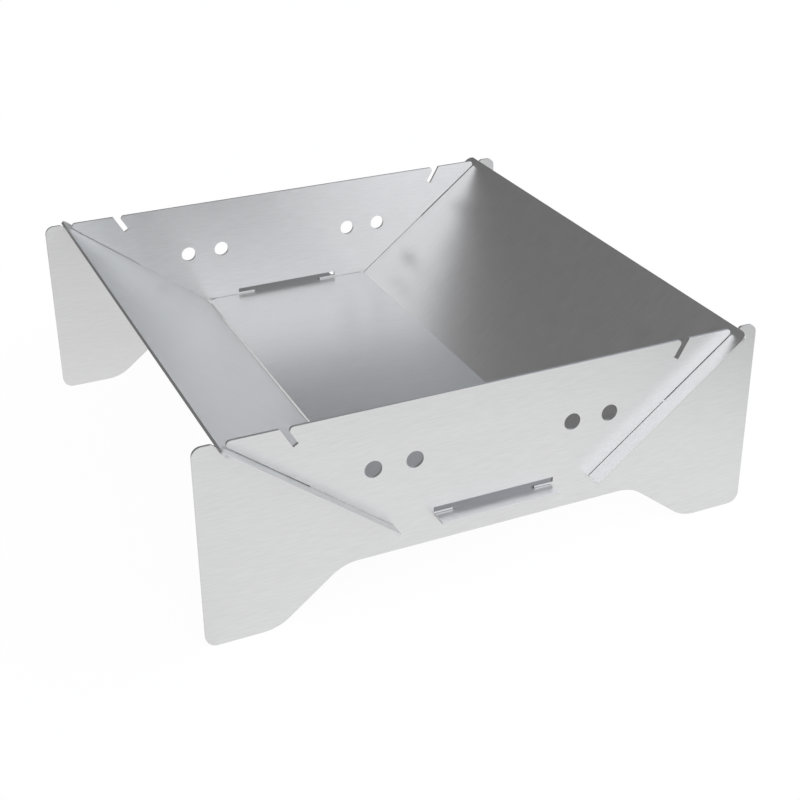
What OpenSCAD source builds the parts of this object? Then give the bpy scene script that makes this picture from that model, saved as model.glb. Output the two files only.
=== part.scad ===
// Flat-pack fire pit: five flat steel sheets that slot together without a fastener.
// Two upright end plates carry two sloping side panels in half-lap slots, and a floor
// plate hooks a wide tab head through each end plate and holds the two together.
// X runs across the pit, Y along it and Z up. The origin is on the ground under its centre.

/* [Sheet] */
// Thickness of every sheet
sheet_t = 2; // [1.5:0.1:3]

/* [Pit] */
// Length of the side panels and of the floor plate, tab heads included
pit_l = 410; // [300:5:500]
// How far the side panels and tab heads stand out past an end plate
overhang = 12; // [10:0.5:18]

/* [End plates] */
// Width of an end plate
plate_w = 400; // [370:5:460]
// Height of an end plate
plate_h = 142; // [130:1:160]
// Distance from the side of an end plate to a side panel's top edge
ear_w = 16; // [14:0.5:24]
// Radius of the corners at the foot of an end plate
foot_corner_r = 8; // [4:0.5:12]
// Radius of the corners at the top of an end plate
top_corner_r = 6.5; // [4:0.5:8]
// Width of the arch at its flat top, between its sharp corners
arch_w = 214; // [190:2:230]
// Height of the arch above the ground
arch_h = 35.5; // [25:0.5:42]
// Radius that blends the arch into its slopes and its slopes into the feet
arch_r = 30; // [10:1:36]

/* [Air holes] */
// Diameter of an air hole
air_d = 12; // [8:0.5:16]
// Distance from the middle of the plate to the nearer air hole on each side
air_first = 57; // [46:0.5:62]
// Distance between the two air holes of a pair
air_pitch = 28.5; // [22:0.5:32]
// Height of the air holes
air_z = 99.5; // [84:0.5:110]

/* [Notches] */
// Width of a notch in the top edge of an end plate
notch_w = 4; // [3:0.1:6]
// Depth of a notch below the top edge
notch_depth = 13; // [8:0.5:20]
// Slope of a notch from the ground
notch_slope = 60; // [50:1:75]
// Distance from the middle of the plate to the middle of a notch's end
notch_x = 135.5; // [120:0.5:142]

/* [Side panels] */
// Radius of a side panel's top corners
panel_top_r = 6; // [2:0.5:10]
// Radius of a side panel's bottom corners
panel_foot_r = 2; // [1:0.5:5]
// Gap beside the floor plate at a side panel's lower edge
foot_gap = 0.8; // [0.3:0.1:2]
// Drop of a side panel's lower edge below the floor plate's top
foot_drop = 1; // [0.5:0.1:2]

/* [Floor plate] */
// Width of the floor plate
floor_w = 142; // [130:1:150]
// Height of the floor plate's underside
floor_z = 53.5; // [50:0.5:56]
// Radius of the floor plate's corners
floor_r = 8; // [3:0.5:12]
// Width of a tab head
head_w = 86; // [78:1:96]
// Width of the neck behind a tab head
neck_w = 58; // [50:1:66]
// Radius of a tab head's corners
head_r = 2; // [1:0.5:5]

/* [Fits] */
// How much wider a half-lap slot is than the sheet in it
lap_play = 0.7; // [0.5:0.1:1.6]
// Clearance under a side panel in an end plate's slot
lap_rest = 0.2; // [0.1:0.05:0.3]
// Free length left at the end of a half-lap
lap_end = 1.5; // [0.5:0.5:4]
// Clearance between an end plate and the floor plate on each face
shoulder_play = 0.3; // [0.2:0.05:0.5]
// Clearance beside a tab's head and neck in the slot
tab_play = 1; // [0.5:0.1:2]
// How far the floor plate drops behind the ledges of its slot
lock_depth = 3.5; // [3:0.1:4.5]
// Clearance over a tab head while it passes above the ledges
pass_play = 1.5; // [0.5:0.1:2]
// Radius that eases the mouths of the slots and notches
mouth_r = 2.5; // [1:0.5:3]

/* [Hidden] */
$fn = 128;
steel = "silver";
over = 1;                                   // run of a cut past the edge that it opens
graze = 0.002;                              // shift that makes an arc cross its edges, not graze them
plate_out = pit_l / 2 - overhang;           // outer face of an end plate, along Y
plate_in = plate_out - sheet_t;             // inner face of an end plate, along Y
plate_mid = plate_out - sheet_t / 2;
floor_top = floor_z + sheet_t;
panel_foot = [floor_w / 2 + foot_gap, floor_top - foot_drop]; // lower edge of a panel's inner face
panel_top = [plate_w / 2 - ear_w, plate_h]; // its upper edge, flush with the end plates
panel_rise = panel_top - panel_foot;
panel_w = norm(panel_rise);                 // width of a side panel, up its slope
side_slope = atan2(panel_rise.y, panel_rise.x);
ledge_z = floor_z + lock_depth;             // ledges that lock a tab head
slot_top = ledge_z + sheet_t + pass_play;
lap_under = sheet_t + lap_rest;             // lap slot's lower wall, below a panel's inner face
lap_over = lap_play - lap_rest;             // lap slot's upper wall, above a panel's inner face

// Unit vector at angle a
function unit(a) = [cos(a), sin(a)];

// Place across the top edge where a wall parallel to a side panel meets it,
// offset upwards from the panel's inner face
function lap_mouth_x(offset) = panel_top.x - offset / sin(side_slope);

// Waste between a sharp corner and the arc that rounds it. The two edges leave
// the corner at from_a and to_a, counter-clockwise through the side that holds the arc.
module corner_waste(corner, from_a, to_a, r) {
    half = (to_a - from_a) / 2;
    reach = r / tan(half);
    centre = corner + (r / sin(half) - graze) * unit(from_a + half);
    difference() {
        polygon([
            centre,
            corner + reach * unit(from_a) + over * unit(from_a - 90),
            corner - over / sin(half) * unit(from_a + half),
            corner + reach * unit(to_a) + over * unit(to_a + 90)
        ]);
        translate(centre) circle(r);
    }
}

// The same shape on the right and on the left
module both_sides() {
    children();
    mirror([1, 0]) children();
}

// Arch under an end plate, with eased shoulders and eased feet
module arch() {
    top_x = arch_w / 2;
    foot_x = top_x + arch_h / tan(side_slope);
    difference() {
        polygon([
            [-foot_x, 0], [-top_x, arch_h], [top_x, arch_h], [foot_x, 0],
            [foot_x, -over], [-foot_x, -over]
        ]);
        both_sides() corner_waste([top_x, arch_h], 180, 360 - side_slope, arch_r);
    }
    both_sides() corner_waste([foot_x, 0], 0, 180 - side_slope, arch_r);
}

// Slot in an end plate that takes a side panel down to half of its width
module lap_slot() {
    slot_l = panel_w / 2 + lap_under / tan(side_slope) + over;
    translate(panel_foot) rotate(side_slope)
        translate([panel_w / 2, -lap_under]) square([slot_l, sheet_t + lap_play]);
    corner_waste([lap_mouth_x(lap_over), plate_h], 180, 180 + side_slope, mouth_r);
    corner_waste([lap_mouth_x(-lap_under), plate_h], 180 + side_slope, 360, mouth_r);
}

// Short slanted notch in the top edge, eased on its inner side
module notch() {
    end = [notch_x, plate_h - notch_depth];
    across = notch_w / 2 / sin(notch_slope);
    mouth_x = end.x + notch_depth / tan(notch_slope);
    translate(end) rotate(notch_slope)
        translate([0, -notch_w / 2]) square([notch_depth / sin(notch_slope) + notch_w, notch_w]);
    corner_waste([mouth_x - across, plate_h], 180, 180 + notch_slope, mouth_r);
}

// T-shaped slot: its wide upper part passes a tab head, its deep middle seats the neck
module tab_slot() {
    pass_w = head_w + 2 * tab_play;
    seat_w = neck_w + 2 * tab_play;
    translate([-pass_w / 2, ledge_z]) square([pass_w, slot_top - ledge_z]);
    translate([-seat_w / 2, floor_z]) square([seat_w, slot_top - floor_z]);
}

// Outline of an end plate, seen from the front
module end_plate_outline() {
    difference() {
        translate([-plate_w / 2, 0]) square([plate_w, plate_h]);
        arch();
        tab_slot();
        both_sides() {
            corner_waste([plate_w / 2, 0], 90, 180, foot_corner_r);
            corner_waste([plate_w / 2, plate_h], 180, 270, top_corner_r);
            lap_slot();
            notch();
            for (i = [0, 1]) translate([air_first + i * air_pitch, air_z]) circle(d = air_d);
        }
    }
}

// Upright sheet whose outer face looks towards -Y at the given place
module end_plate(face_y) {
    color(steel) translate([0, face_y + sheet_t, 0]) rotate([90, 0, 0])
        linear_extrude(sheet_t) end_plate_outline();
}

module front_plate() { end_plate(-plate_out); }

module rear_plate() { end_plate(plate_in); }

// Outline of a side panel: X up its slope from the lower edge, Y along the pit
module panel_outline() {
    lap_w = sheet_t + lap_play;
    difference() {
        translate([0, -pit_l / 2]) square([panel_w, pit_l]);
        for (end = [0, 1]) mirror([0, end]) {
            corner_waste([panel_w, pit_l / 2], 180, 270, panel_top_r);
            corner_waste([0, pit_l / 2], 270, 360, panel_foot_r);
            translate([-over, plate_mid - lap_w / 2]) square([panel_w / 2 + lap_end + over, lap_w]);
        }
    }
}

module right_panel() {
    color(steel) translate([panel_foot.x, 0, panel_foot.y]) rotate([0, -side_slope, 0])
        translate([0, 0, -sheet_t]) linear_extrude(sheet_t) panel_outline();
}

module left_panel() { mirror([1, 0, 0]) right_panel(); }

// Outline of the floor plate: a rectangular blank whose ends are cut back beside
// each tab head, and deeper behind it to leave the neck
module floor_outline() {
    body_y = plate_in - shoulder_play;
    head_y = plate_out + shoulder_play;
    difference() {
        translate([-floor_w / 2, -pit_l / 2]) square([floor_w, pit_l]);
        for (end = [0, 1]) mirror([0, end]) both_sides() {
            translate([head_w / 2, body_y]) square([floor_w / 2, pit_l / 2]);
            translate([neck_w / 2, body_y]) square([floor_w / 2, head_y - body_y]);
            corner_waste([floor_w / 2, body_y], 180, 270, floor_r);
            corner_waste([head_w / 2, pit_l / 2], 180, 270, head_r);
        }
    }
}

module floor_plate() {
    color(steel) translate([0, 0, floor_z]) linear_extrude(sheet_t) floor_outline();
}

front_plate();
rear_plate();
left_panel();
right_panel();
floor_plate();
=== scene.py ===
"""A flat-pack fire pit of five brushed steel sheets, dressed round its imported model."""

import math

import bpy
from mathutils import Matrix, Vector
from mathutils.geometry import tessellate_polygon


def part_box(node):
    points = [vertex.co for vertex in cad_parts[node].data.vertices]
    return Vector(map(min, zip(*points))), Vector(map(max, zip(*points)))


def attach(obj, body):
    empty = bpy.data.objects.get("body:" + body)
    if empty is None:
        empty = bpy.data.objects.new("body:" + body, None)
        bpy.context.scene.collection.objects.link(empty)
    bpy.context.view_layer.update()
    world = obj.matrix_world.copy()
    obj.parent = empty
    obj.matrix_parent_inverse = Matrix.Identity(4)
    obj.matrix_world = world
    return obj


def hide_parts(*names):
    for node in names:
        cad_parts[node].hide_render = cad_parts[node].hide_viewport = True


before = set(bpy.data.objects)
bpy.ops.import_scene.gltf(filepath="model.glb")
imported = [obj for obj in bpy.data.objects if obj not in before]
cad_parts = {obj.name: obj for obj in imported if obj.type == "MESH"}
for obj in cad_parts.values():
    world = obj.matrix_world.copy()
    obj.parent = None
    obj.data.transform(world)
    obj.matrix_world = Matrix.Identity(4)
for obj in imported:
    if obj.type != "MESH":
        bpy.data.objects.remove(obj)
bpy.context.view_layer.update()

# Camera: a long lens a little above the pit, to the left of its front plate.
# The pit fills the picture's width and is centred in it.
lens_mm = 65.74
sensor_mm = 36
camera_turn = -25.32
camera_rise = 26.42
camera_distance = 1.124
camera_aim = Vector((0.0396, 0, 0.0664))
frame_shift = (-0.0285, -0.058)


def direction(turn, rise):
    """The way out from the pit, in degrees round from straight in front of it towards its right
    side, and in degrees up from the floor."""
    turn, rise = math.radians(turn), math.radians(rise)
    return Vector((
        math.sin(turn) * math.cos(rise),
        -math.cos(turn) * math.cos(rise),
        math.sin(rise),
    ))


camera = bpy.data.objects.new("camera", bpy.data.cameras.new("camera"))
bpy.context.scene.collection.objects.link(camera)
bpy.context.scene.camera = camera
camera.data.lens = lens_mm
camera.data.sensor_width = sensor_mm
camera.data.shift_x, camera.data.shift_y = frame_shift
towards_camera = direction(camera_turn, camera_rise)
camera.location = camera_aim + camera_distance * towards_camera
camera.rotation_mode = "QUATERNION"
camera.rotation_quaternion = (-towards_camera).to_track_quat("-Z", "Y")


# Floor: a seamless white sheet. The camera sees it as plain white with a faint shadow of the
# pit. A pool of glow is painted on it for reflections, so the steel sees it white near the pit and dim
# further out.
floor_size = 40
floor_white = (0.9, 0.9, 0.9, 1)
floor_glow_share = 0.96
# Painted pool of glow: reflections see the floor at full glow within the bright radius, fading to the
# far glow by the edge radius.
pool_centre = (-0.24, -0.26, 0)
pool_bright_r = 0.45
pool_edge_r = 0.95
floor_far_glow = 0.3


def feed(tree, node, sockets):
    """Sets a node's inputs, each to a value or to the output that drives it."""
    for socket, source in sockets.items():
        if isinstance(source, bpy.types.NodeSocket):
            tree.links.new(source, node.inputs[socket])
        else:
            node.inputs[socket].default_value = source


def add_node(tree, kind, sockets=None, **settings):
    """A new node in a material's or the world's tree, with its settings and its inputs."""
    node = tree.nodes.new(kind)
    for name, value in settings.items():
        setattr(node, name, value)
    feed(tree, node, sockets or {})
    return node


def greater(tree, one, other):
    """The larger of two values at each point."""
    return add_node(tree, "ShaderNodeMath", {0: one, 1: other}, operation="MAXIMUM").outputs[0]


floor_mesh = bpy.data.meshes.new("studio_floor")
half = floor_size / 2
floor_corners = [(-half, -half, 0), (half, -half, 0), (half, half, 0), (-half, half, 0)]
floor_mesh.from_pydata(floor_corners, [], [(0, 1, 2, 3)])
floor = bpy.data.objects.new("studio_floor", floor_mesh)
bpy.context.scene.collection.objects.link(floor)

paper = bpy.data.materials.new("white_paper")
paper.use_nodes = True
tree = paper.node_tree
tree.nodes.clear()
place = add_node(tree, "ShaderNodeTexCoord")
# The painted pool of glow: the floor's emission for reflections fades with distance from the pool's
# centre.
from_pool = add_node(tree, "ShaderNodeVectorMath",
                     {0: place.outputs["Object"], 1: pool_centre}, operation="DISTANCE")
pool = add_node(tree, "ShaderNodeMapRange", {
    "Value": from_pool.outputs["Value"],
    "From Min": pool_bright_r,
    "From Max": pool_edge_r,
    "To Min": 1,
    "To Max": floor_far_glow,
}, interpolation_type="SMOOTHSTEP")
path = add_node(tree, "ShaderNodeLightPath")
seen = greater(tree, path.outputs["Is Camera Ray"],
               greater(tree, path.outputs["Is Glossy Ray"], path.outputs["Is Transmission Ray"]))
share = add_node(tree, "ShaderNodeMath", {0: seen, 1: floor_glow_share}, operation="MULTIPLY")
matt = add_node(tree, "ShaderNodeBsdfDiffuse", {"Color": floor_white})
glow = add_node(tree, "ShaderNodeEmission",
                {"Strength": greater(tree, path.outputs["Is Camera Ray"], pool.outputs[0])})
lit = add_node(tree, "ShaderNodeMixShader",
               {"Fac": share.outputs[0], 1: matt.outputs[0], 2: glow.outputs[0]})
below = add_node(tree, "ShaderNodeNewGeometry")
clear = add_node(tree, "ShaderNodeBsdfTransparent")
one_sided = add_node(tree, "ShaderNodeMixShader",
                     {"Fac": below.outputs["Backfacing"], 1: lit.outputs[0], 2: clear.outputs[0]})
add_node(tree, "ShaderNodeOutputMaterial", {"Surface": one_sided.outputs[0]})
floor_mesh.materials.append(paper)


# Light: a dim room with large softboxes round the pit: a strong one on its right, others overhead
# to its left and low in front, and weaker ones between them. The camera sees the room as white.
# Each softbox is given by its direction from the pit, in degrees as for the camera, and by how
# many degrees out from its middle it is still full and has faded away.
room_grey = (0.17, 0.165, 0.165)
softboxes = {
    "right": dict(turn=80, rise=30, full=25, faded=50, radiance=(1.78, 1.82, 1.86)),
    "overhead_left": dict(turn=-35, rise=62, full=25, faded=48, radiance=(1.12, 1.16, 1.20)),
    "low_front": dict(turn=15, rise=5, full=15, faded=35, radiance=(1.05, 1.10, 1.17)),
    "high_front": dict(turn=-10, rise=35, full=15, faded=38, radiance=(0.54, 0.52, 0.52)),
    "left": dict(turn=-60, rise=30, full=18, faded=40, radiance=(0.47, 0.51, 0.54)),
    "front_right": dict(turn=55, rise=20, full=15, faded=35, radiance=(0.23, 0.26, 0.29)),
    "rear_right": dict(turn=125, rise=25, full=15, faded=38, radiance=(0.23, 0.26, 0.30)),
}
backdrop_white = (1, 1, 1, 1)

world = bpy.data.worlds.new("studio_room")
bpy.context.scene.world = world
world.use_nodes = True
tree = world.node_tree
tree.nodes.clear()
looking = add_node(tree, "ShaderNodeTexCoord")
light = room_grey
for box in softboxes.values():
    facing = add_node(tree, "ShaderNodeVectorMath", {
        0: looking.outputs["Generated"],
        1: direction(box["turn"], box["rise"]),
    }, operation="DOT_PRODUCT")
    fullness = add_node(tree, "ShaderNodeMapRange", {
        "Value": facing.outputs["Value"],
        "From Min": math.cos(math.radians(box["faded"])),
        "From Max": math.cos(math.radians(box["full"])),
    }, interpolation_type="SMOOTHSTEP")
    box_light = add_node(tree, "ShaderNodeVectorMath",
                         {0: box["radiance"], "Scale": fullness.outputs[0]}, operation="SCALE")
    light = add_node(tree, "ShaderNodeVectorMath",
                     {0: light, 1: box_light.outputs[0]}, operation="ADD").outputs[0]
room = add_node(tree, "ShaderNodeBackground", {"Color": light})
backdrop = add_node(tree, "ShaderNodeBackground", {"Color": backdrop_white})
path = add_node(tree, "ShaderNodeLightPath")
room_or_backdrop = add_node(tree, "ShaderNodeMixShader", {
    "Fac": path.outputs["Is Camera Ray"],
    1: room.outputs[0],
    2: backdrop.outputs[0],
})
add_node(tree, "ShaderNodeOutputWorld", {"Surface": room_or_backdrop.outputs[0]})
bpy.context.scene.view_settings.view_transform = "Standard"


# End plates: the two upright sheets that the pit stands on, laser-cut from 2 mm stainless steel.
# Each has an arch between its feet, air holes, a T-slot for the floor plate's tab, and slots
# and slanted notches in its top edge. The sheet is brushed along its length and deburred.
deburr = 0.00006
deburr_steps = 3
kerf_r = 0.0003
arc_step = math.radians(5)
foot_corner_r = 0.008
top_corner_r = 0.0065
arch_w = 0.214
arch_h = 0.0355
arch_r = 0.030
ear_w = 0.016
mouth_r = 0.0025
air_hole_r = 0.006
air_hole_z = 0.0995
air_hole_x = (0.057, 0.0855)
notch_w = 0.004
notch_depth = 0.013
notch_slope = math.radians(60)
notch_x = 0.1355
panel_foot = Vector((0.0718, 0.0545))
lap_play = 0.0007
lap_rest = 0.0002
tab_slot_top = 0.0605
tab_ledge_z = 0.057
tab_seat_z = 0.0535
tab_pass_w = 0.088
tab_seat_w = 0.060

plate_low, plate_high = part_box("front_plate")
plate_w = plate_high.x - plate_low.x
plate_h = plate_high.z - plate_low.z
sheet_t = plate_high.y - plate_low.y
panel_top = Vector((plate_w / 2 - ear_w, plate_h))
up_slope = (panel_top - panel_foot).normalized()
off_slope = Vector((-up_slope.y, up_slope.x))
panel_w = (panel_top - panel_foot).length


def rounded(corners):
    """The points of a closed outline, cut anticlockwise with the steel on its left, each with
    the direction that faces out of the steel there. Each corner is (x, y, radius)."""
    outline = []
    for i, (x, y, radius) in enumerate(corners):
        corner = Vector((x, y))
        run_in = (corner - Vector(corners[i - 1][:2])).normalized()
        run_out = (Vector(corners[(i + 1) % len(corners)][:2]) - corner).normalized()
        turn = math.atan2(run_in.x * run_out.y - run_in.y * run_out.x, run_in.dot(run_out))
        side = math.copysign(1, turn)
        start = corner - run_in * radius * math.tan(abs(turn) / 2)
        centre = start + side * radius * Vector((-run_in.y, run_in.x))
        steps = max(2, math.ceil(abs(turn) / arc_step))
        for k in range(steps + 1):
            heading = Matrix.Rotation(turn * k / steps, 2) @ run_in
            outward = Vector((heading.y, -heading.x))
            outline.append((centre + side * radius * outward, outward))
    return outline


def drilled(x, y, radius):
    """The outline of a round hole, cut clockwise so that the steel stays on its left."""
    steps = round(2 * math.pi / arc_step)
    outline = []
    for k in range(steps):
        angle = -2 * math.pi * k / steps
        outward = -Vector((math.cos(angle), math.sin(angle)))
        outline.append((Vector((x, y)) - radius * outward, outward))
    return outline


def deburred_profile():
    """The section of a cut edge from the sheet's lower face to its upper one. Each step is how
    far it lies inside the cut line, its height, and its normal's shares outwards and upwards."""
    quarter = [math.pi / 2 * k / deburr_steps for k in range(deburr_steps + 1)]
    lower = [(deburr * (1 - math.sin(a)), deburr * (1 - math.cos(a)), math.sin(a), -math.cos(a))
             for a in quarter]
    upper = [(inset, sheet_t - rise, out, -up) for inset, rise, out, up in reversed(lower)]
    return lower + upper


def cut_sheet(name, outlines, origin, along, across, nest):
    """A flat sheet with its edges deburred. It lies on origin with its grain along the first
    direction, and its outer outline comes first. nest is its place on the brushed coil."""
    facing = along.cross(across)
    profile = deburred_profile()
    corners, normals, on_coil, on_cut, cuts = [], [], [], [], []
    for outline in outlines:
        run = [0.0]
        for (here, _), (there, _) in zip(outline, outline[1:] + outline[:1]):
            run.append(run[-1] + (there - here).length)
        rings = []
        for inset, rise, out, up in profile:
            rings.append(range(len(corners), len(corners) + len(outline)))
            for (point, outward), run_so_far in zip(outline, run):
                at = point - inset * outward
                corners.append(origin + at.x * along + at.y * across + rise * facing)
                normals.append(out * (outward.x * along + outward.y * across) + up * facing)
                on_coil.append((at.x + nest[0], at.y + nest[1]))
                on_cut.append((run_so_far, rise))
        cuts.append((rings, run[-1]))

    brushed, laser_cut = 0, 1
    faces, looks, maps = [], [], []
    for rings, whole_run in cuts:
        for k, (low, high) in enumerate(zip(rings, rings[1:])):
            is_cut = k == deburr_steps
            for a in range(len(low)):
                b = (a + 1) % len(low)
                face = (low[a], low[b], high[b], high[a])
                faces.append(face)
                looks.append(laser_cut if is_cut else brushed)
                if is_cut and b == 0:
                    maps += [on_cut[low[a]], (whole_run, on_cut[low[b]][1]),
                             (whole_run, on_cut[high[b]][1]), on_cut[high[a]]]
                else:
                    maps += [(on_cut if is_cut else on_coil)[v] for v in face]
    for level, clockwise in ((0, True), (-1, False)):
        loops = [rings[level] for rings, _ in cuts]
        indices = [v for loop in loops for v in loop]
        for triangle in tessellate_polygon([[Vector((*on_coil[v], 0)) for v in loop] for loop in loops]):
            face = [indices[t] for t in triangle]
            a, b, c = (Vector(on_coil[v]) for v in face)
            if ((b - a).cross(c - a) < 0) != clockwise:
                face.reverse()
            faces.append(face)
            looks.append(brushed)
            maps += [on_coil[v] for v in face]

    mesh = bpy.data.meshes.new(name)
    mesh.from_pydata(corners, [], faces)
    mesh.materials.append(brushed_steel)
    mesh.materials.append(cut_steel)
    mesh.polygons.foreach_set("material_index", looks)
    mesh.polygons.foreach_set("use_smooth", [True] * len(faces))
    grain = mesh.uv_layers.new(name="grain")
    grain.data.foreach_set("uv", [value for pair in maps for value in pair])
    mesh.normals_split_custom_set_from_vertices(normals)
    mesh.update()
    sheet = bpy.data.objects.new(name, mesh)
    bpy.context.scene.collection.objects.link(sheet)
    return sheet


# The steel's finishes. The marks of a pattern are at most long by wide, in metres, and its seed
# shifts it along the grain. A pair holds the values at the pattern's darkest and lightest marks.
brush_strokes = dict(long=0.015, wide=0.0012, seed=3.1, detail=1)
stroke_tone = (-0.018, 0.018)
stroke_roughness = (0.325, 0.37)
stroke_depth = 0.00002
coil_bands = dict(long=0.200, wide=0.0150, seed=1.9)
band_tone = (0.695, 0.705)
brush_pull = 0.25
quarter_turn = 0.25
glancing_tint = (0.9, 0.9, 0.9, 1)
cut_striations = dict(long=0.0006, wide=0.004, seed=5.3)
striation_tone = (0.66, 0.72)
cut_ripples = dict(long=0.0002, wide=0.003, seed=2.2)
ripple_depth = 0.00001
cut_roughness = 0.38
fine_share = 0.6


def streaks(tree, long, wide, seed, detail=2):
    """Brush marks as a grey pattern on the sheet's flat pattern."""
    flat = add_node(tree, "ShaderNodeUVMap", uv_map="grain")
    stretch = add_node(tree, "ShaderNodeMapping", {
        "Vector": flat.outputs[0],
        "Location": (seed, 0, 0),
        "Scale": (1 / long, 1 / wide, 1),
    })
    marks = add_node(tree, "ShaderNodeTexNoise", {
        "Vector": stretch.outputs[0],
        "Scale": 1,
        "Detail": detail,
        "Roughness": fine_share,
    }, noise_dimensions="2D")
    return marks.outputs["Fac"]


def spread(tree, pattern, low, high, darkest=0.3, lightest=0.7):
    """A pattern's middle values stretched to run from low to high."""
    return add_node(tree, "ShaderNodeMapRange", {
        "Value": pattern,
        "From Min": darkest,
        "From Max": lightest,
        "To Min": low,
        "To Max": high,
    }).outputs[0]


def together(tree, one, other):
    """Two patterns added up."""
    return add_node(tree, "ShaderNodeMath", {0: one, 1: other}, operation="ADD").outputs[0]


def relief(tree, height, depth):
    """A surface normal that follows a height pattern of that depth in metres."""
    bump = add_node(tree, "ShaderNodeBump", {"Strength": 1, "Distance": depth, "Height": height})
    return bump.outputs[0]


def new_steel(name):
    """A metal material, its tree and its shader."""
    steel = bpy.data.materials.new(name)
    steel.use_nodes = True
    shader = steel.node_tree.nodes["Principled BSDF"]
    feed(steel.node_tree, shader, {"Metallic": 1, "Specular Tint": glancing_tint})
    return steel, steel.node_tree, shader


brushed_steel, tree, shader = new_steel("brushed_steel")
grain_way = add_node(tree, "ShaderNodeTangent", direction_type="UV_MAP", uv_map="grain")
strokes = streaks(tree, **brush_strokes)
bands = streaks(tree, **coil_bands)
feed(tree, shader, {
    "Base Color": together(tree, spread(tree, strokes, *stroke_tone), spread(tree, bands, *band_tone)),
    "Roughness": spread(tree, strokes, *stroke_roughness),
    "Anisotropic": brush_pull,
    "Anisotropic Rotation": quarter_turn,
    "Tangent": grain_way.outputs[0],
    "Normal": relief(tree, strokes, stroke_depth),
})

cut_steel, tree, shader = new_steel("laser_cut_steel")
feed(tree, shader, {
    "Base Color": spread(tree, streaks(tree, **cut_striations), *striation_tone),
    "Roughness": cut_roughness,
    "Normal": relief(tree, streaks(tree, **cut_ripples), ripple_depth),
})


def lap_mouth_x(offset):
    """Where a wall of a half-lap slot meets the top edge, offset off the panel's inner face."""
    return panel_top.x - offset / up_slope.y


def end_plate_outlines():
    """The cut lines of an end plate: its outside, its T-slot and its air holes."""
    arch_foot_x = arch_w / 2 + arch_h * up_slope.x / up_slope.y
    lap_low = panel_foot + panel_w / 2 * up_slope - (sheet_t + lap_rest) * off_slope
    lap_high = panel_foot + panel_w / 2 * up_slope + (lap_play - lap_rest) * off_slope
    notch_end = Vector((notch_x, plate_h - notch_depth))
    notch_side = notch_w / 2 * Vector((-math.sin(notch_slope), math.cos(notch_slope)))
    notch_mouth_x = notch_x + notch_depth / math.tan(notch_slope)
    notch_reach = notch_w / 2 / math.sin(notch_slope)
    right = [
        (arch_w / 2, arch_h, arch_r),
        (arch_foot_x, 0, arch_r),
        (plate_w / 2, 0, foot_corner_r),
        (plate_w / 2, plate_h, top_corner_r),
        (lap_mouth_x(-sheet_t - lap_rest), plate_h, mouth_r),
        (*lap_low, kerf_r),
        (*lap_high, kerf_r),
        (lap_mouth_x(lap_play - lap_rest), plate_h, mouth_r),
        (notch_mouth_x + notch_reach, plate_h, kerf_r),
        (*(notch_end - notch_side), kerf_r),
        (*(notch_end + notch_side), kerf_r),
        (notch_mouth_x - notch_reach, plate_h, mouth_r),
    ]
    left = [(-x, z, radius) for x, z, radius in reversed(right)]
    slot_right = [
        (tab_pass_w / 2, tab_slot_top, kerf_r),
        (tab_pass_w / 2, tab_ledge_z, kerf_r),
        (tab_seat_w / 2, tab_ledge_z, kerf_r),
        (tab_seat_w / 2, tab_seat_z, kerf_r),
    ]
    slot_left = [(-x, z, radius) for x, z, radius in reversed(slot_right)]
    holes = [drilled(side * x, air_hole_z, air_hole_r) for side in (1, -1) for x in air_hole_x]
    return [rounded(right + left), rounded(slot_right + slot_left), *holes]


for node, nest in (("front_plate", (0.0, 0.0)), ("rear_plate", (0.47, 0.31))):
    inner_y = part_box(node)[1].y
    plate = cut_sheet(node + "_sheet", end_plate_outlines(), Vector((0, inner_y, 0)),
                      Vector((1, 0, 0)), Vector((0, 0, 1)), nest)
    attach(plate, "end_plates")
    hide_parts(node)


# Floor plate: the level sheet that the fire lies on, cut from the same steel. It has a necked
# tab at each end, whose head passes through an end plate's T-slot and drops behind its ledges.
floor_corner_r = 0.008
tab_head_w = 0.086
tab_neck_w = 0.058
tab_head_r = 0.002
shoulder_play = 0.0003
floor_nest = (0.91, 0.12)

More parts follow.
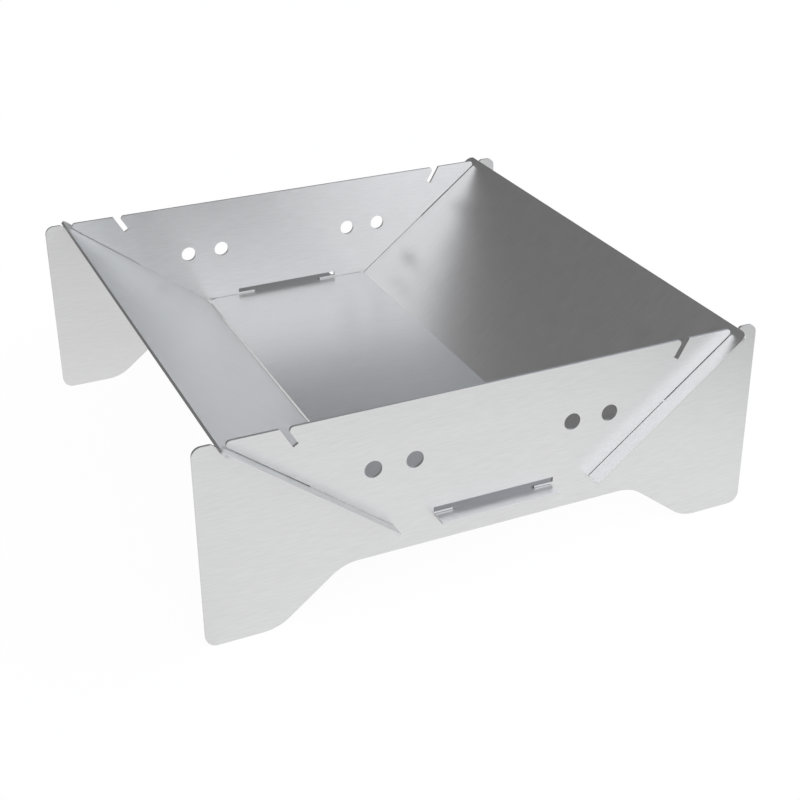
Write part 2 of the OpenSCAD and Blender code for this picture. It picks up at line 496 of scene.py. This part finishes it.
bed_low, bed_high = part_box("floor_plate")
bed_w = bed_high.x - bed_low.x
tab_end_y = bed_high.y
body_end_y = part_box("rear_plate")[0].y - shoulder_play
head_back_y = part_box("rear_plate")[1].y + shoulder_play
rear_right = [
    (bed_w / 2, body_end_y, floor_corner_r),
    (tab_neck_w / 2, body_end_y, kerf_r),
    (tab_neck_w / 2, head_back_y, kerf_r),
    (tab_head_w / 2, head_back_y, kerf_r),
    (tab_head_w / 2, tab_end_y, tab_head_r),
]
rear_left = [(-x, y, radius) for x, y, radius in reversed(rear_right)]
front_half = [(-x, -y, radius) for x, y, radius in rear_right + rear_left]
floor_plate = cut_sheet("floor_plate_sheet", [rounded(rear_right + rear_left + front_half)],
                        Vector((0, 0, bed_low.z)), Vector((1, 0, 0)), Vector((0, 1, 0)), floor_nest)
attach(floor_plate, "floor")
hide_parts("floor_plate")


# Side panels: two plain sheets that close the sides of the bowl and slope down to the floor
# plate. A half-lap slot near each end of the lower edge drops over an end plate.
panel_top_r = 0.006
panel_foot_r = 0.002
lap_end = 0.0015

panel_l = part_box("right_panel")[1].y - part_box("right_panel")[0].y
lap_low_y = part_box("rear_plate")[0].y - lap_play / 2
lap_high_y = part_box("rear_plate")[1].y + lap_play / 2
lap_depth = panel_w / 2 + lap_end
rear_half = [
    (panel_w, panel_l / 2, panel_top_r),
    (0, panel_l / 2, panel_foot_r),
    (0, lap_high_y, kerf_r),
    (lap_depth, lap_high_y, kerf_r),
    (lap_depth, lap_low_y, kerf_r),
    (0, lap_low_y, kerf_r),
]
near_half = [(x, -y, radius) for x, y, radius in reversed(rear_half)]
for node, body, side, nest in (("right_panel", "right_side", 1, (1.33, 0.05)),
                               ("left_panel", "left_side", -1, (1.78, 0.44))):
    along = Vector((side * up_slope.x, 0, up_slope.y))
    across = Vector((0, side, 0))
    inner_foot = Vector((side * panel_foot.x, 0, panel_foot.y))
    panel = cut_sheet(node + "_sheet", [rounded(rear_half + near_half)],
                      inner_foot - sheet_t * along.cross(across), along, across, nest)
    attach(panel, body)
    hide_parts(node)
